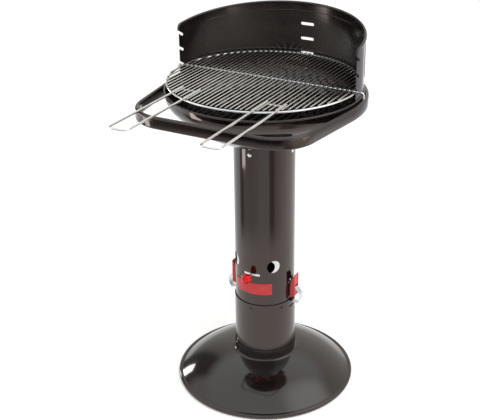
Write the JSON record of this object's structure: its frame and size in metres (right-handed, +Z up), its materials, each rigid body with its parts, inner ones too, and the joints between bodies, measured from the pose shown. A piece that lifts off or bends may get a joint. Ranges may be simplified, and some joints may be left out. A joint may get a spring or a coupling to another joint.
{
  "type": "charcoal grill",
  "caption": "Column charcoal grill: round bowl on a pipe foot, half-round wind screen, lift-off bar grid with loop handles, turning air ring.",
  "frame": {"origin": "on the floor, on the axis of the column", "axes": "+Z up; -Y is the front, where the grid's handles, the knob and the open side of the screen are; +X is the right as seen from the front"},
  "size_m": [0.5174, 0.7156, 0.9798],
  "materials": {
    "enamel": "gloss",
    "red_knob": "gloss",
    "red_plate": "satin",
    "steel": "satin",
    "zinc": "satin",
    "chrome": "gloss"
  },
  "bodies": {
    "stand": {"foot": "enamel", "clamp_ring": "zinc", "tube_flange": "enamel", "foot_bolts": "zinc", "foot_nuts": "zinc", "ash_cup": "steel", "lower_tube": "enamel", "seat_ring": "zinc", "upper_tube": "enamel", "front_plate": "red_plate", "sleeve_ledge": "zinc", "catch_tabs": "enamel", "latch_bracket_right": "enamel", "latch_bracket_left": "enamel", "bracket_screws": "zinc", "bracket_nuts": "zinc", "lever_pins": "red_plate", "bowl": "enamel", "bowl_screws": "steel", "bowl_nuts": "zinc", "wind_screen": "enamel", "screen_rivets": "zinc", "rail": "enamel", "rail_bolts": "zinc", "rail_spacers": "zinc"},
    "air_control": {"air_sleeve": "steel", "knob_stud": "zinc", "air_knob": "red_knob"},
    "lever_right": {"latch_lever_right": "red_plate", "clip_pin_right": "red_plate"},
    "lever_left": {"latch_lever_left": "red_plate", "clip_pin_left": "red_plate"},
    "clip_right": {"latch_clip_right": "zinc"},
    "clip_left": {"latch_clip_left": "zinc"},
    "grid": {"cooking_grid": "chrome"},
    "grate": {"charcoal_grate": "enamel"}
  },
  "joints": [
    {"name": "air_turn", "type": "hinge", "parent": "stand", "child": "air_control", "pos_m": [0, 0, 0.337], "axis": [0, 0, 1], "range_deg": [-15, 15]},
    {"name": "lever_right_swing", "type": "hinge", "parent": "stand", "child": "lever_right", "pos_m": [0.0865, 0, 0.2625], "axis": [0, 1, 0], "range_deg": [0, 50]},
    {"name": "lever_left_swing", "type": "hinge", "parent": "stand", "child": "lever_left", "pos_m": [-0.0865, 0, 0.2625], "axis": [0, -1, 0], "range_deg": [0, 50]},
    {"name": "clip_right_swing", "type": "hinge", "parent": "lever_right", "child": "clip_right", "pos_m": [0.086, 0, 0.288], "axis": [0, 1, 0], "range_deg": [-50, 0]},
    {"name": "clip_left_swing", "type": "hinge", "parent": "lever_left", "child": "clip_left", "pos_m": [-0.086, 0, 0.288], "axis": [0, -1, 0], "range_deg": [-50, 0]},
    {"name": "grid_lift", "type": "slide", "parent": "stand", "child": "grid", "axis": [0, -0.866, 0.5], "range_m": [0, 0.026]},
    {"name": "grate_lift", "type": "slide", "parent": "stand", "child": "grate", "axis": [0, 0, 1], "range_m": [0, 0.03]}
  ],
  "couplings": [
    {"joint": "clip_right_swing", "follows": "lever_right_swing", "ratio": -1},
    {"joint": "clip_left_swing", "follows": "lever_left_swing", "ratio": -1}
  ]
}
